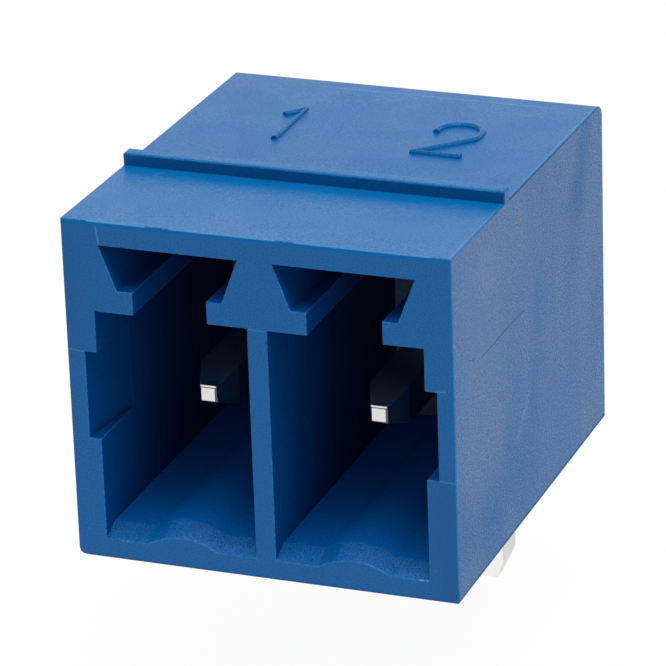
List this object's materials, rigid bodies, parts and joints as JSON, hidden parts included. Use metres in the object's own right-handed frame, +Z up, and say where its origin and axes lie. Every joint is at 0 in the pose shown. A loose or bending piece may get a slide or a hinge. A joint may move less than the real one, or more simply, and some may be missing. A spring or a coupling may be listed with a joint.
{
  "type": "right-angle pluggable terminal block header",
  "caption": "Blue right-angle board header for a pluggable screw terminal: a moulded housing with front pockets and bent square contact pins that solder into a circuit board.",
  "frame": {"origin": "on the board plane, which is the housing's underside, midway between the two solder pins", "axes": "+X along the row of poles, to the right seen from the mating face; +Y from the mating face into the housing; +Z up from the board"},
  "size_m": [0.0112, 0.0132, 0.0153],
  "materials": {
    "housing": "satin moulded plastic with a fine grain",
    "contact": "bright tin plating"
  },
  "bodies": {
    "root": {"housing": "housing", "contact_pin_1": "contact", "contact_pin_2": "contact"}
  },
  "joints": []
}
